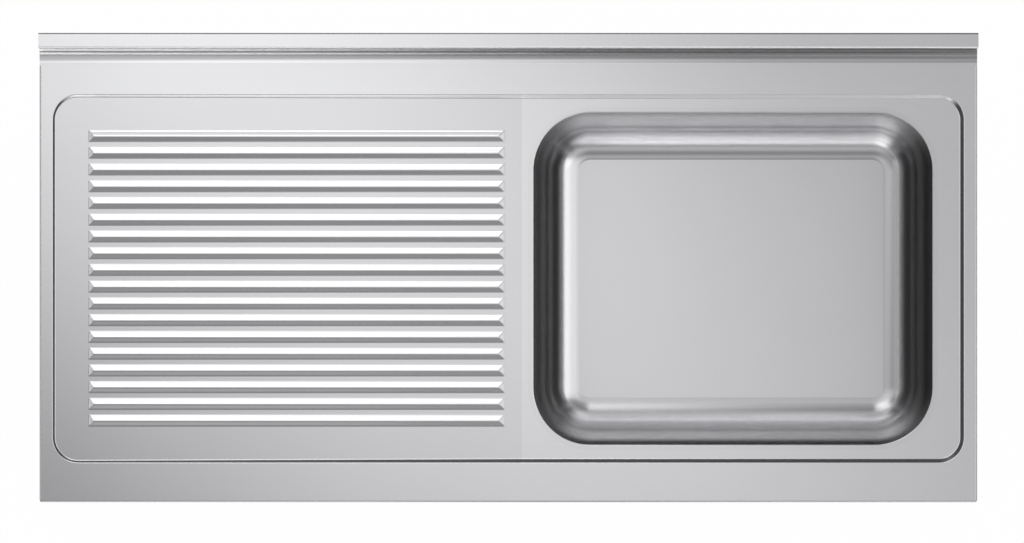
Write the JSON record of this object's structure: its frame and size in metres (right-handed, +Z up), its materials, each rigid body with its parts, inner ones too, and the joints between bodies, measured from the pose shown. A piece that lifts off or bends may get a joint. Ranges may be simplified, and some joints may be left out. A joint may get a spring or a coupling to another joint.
{
  "type": "sink top",
  "caption": "Rectangular stainless steel sink top with a ribbed drainer on the left, a deep bowl on the right, a drip-proof lowered panel and a rear upstand.",
  "frame": {"origin": "middle of the four fixing holes, in the plane of the underside that rests on the stand", "axes": "+X along the length to the bowl end, +Y to the wall side with the upstand, +Z up"},
  "size_m": [1.4, 0.7, 0.4102],
  "materials": {
    "drainer_steel": "satin brushed along the length",
    "deck_steel": "satin brushed along the length",
    "bowl_steel": "deep drawn, satin polished",
    "upstand_steel": "satin brushed along the length",
    "mill_steel": "dull mill finish",
    "bracket_steel": "pickled plate",
    "hardboard": "oil-tempered hardboard",
    "damping_pad": "matt bitumen felt"
  },
  "bodies": {
    "root": {"drainer_sheet": "drainer_steel", "bowl_sheet": "deck_steel", "sink_bowl": "bowl_steel", "upstand": "upstand_steel", "end_plate_left": "upstand_steel", "end_plate_right": "upstand_steel", "rear_rail": "mill_steel", "front_channel": "mill_steel", "left_channel": "mill_steel", "seam_channel": "mill_steel", "right_channel": "mill_steel", "drainer_board": "hardboard", "drainer_channel_left": "mill_steel", "drainer_channel_right": "mill_steel", "upstand_tie_left": "mill_steel", "upstand_tie_middle": "mill_steel", "upstand_tie_right": "mill_steel", "bracket_front_left": "bracket_steel", "bracket_front_right": "bracket_steel", "bracket_rear_left": "bracket_steel", "bracket_rear_right": "bracket_steel", "bowl_pad_floor": "damping_pad", "bowl_pad_left": "damping_pad", "bowl_pad_right": "damping_pad", "bowl_pad_front": "damping_pad", "bowl_pad_rear": "damping_pad", "earth_tag": "bracket_steel"}
  },
  "joints": []
}
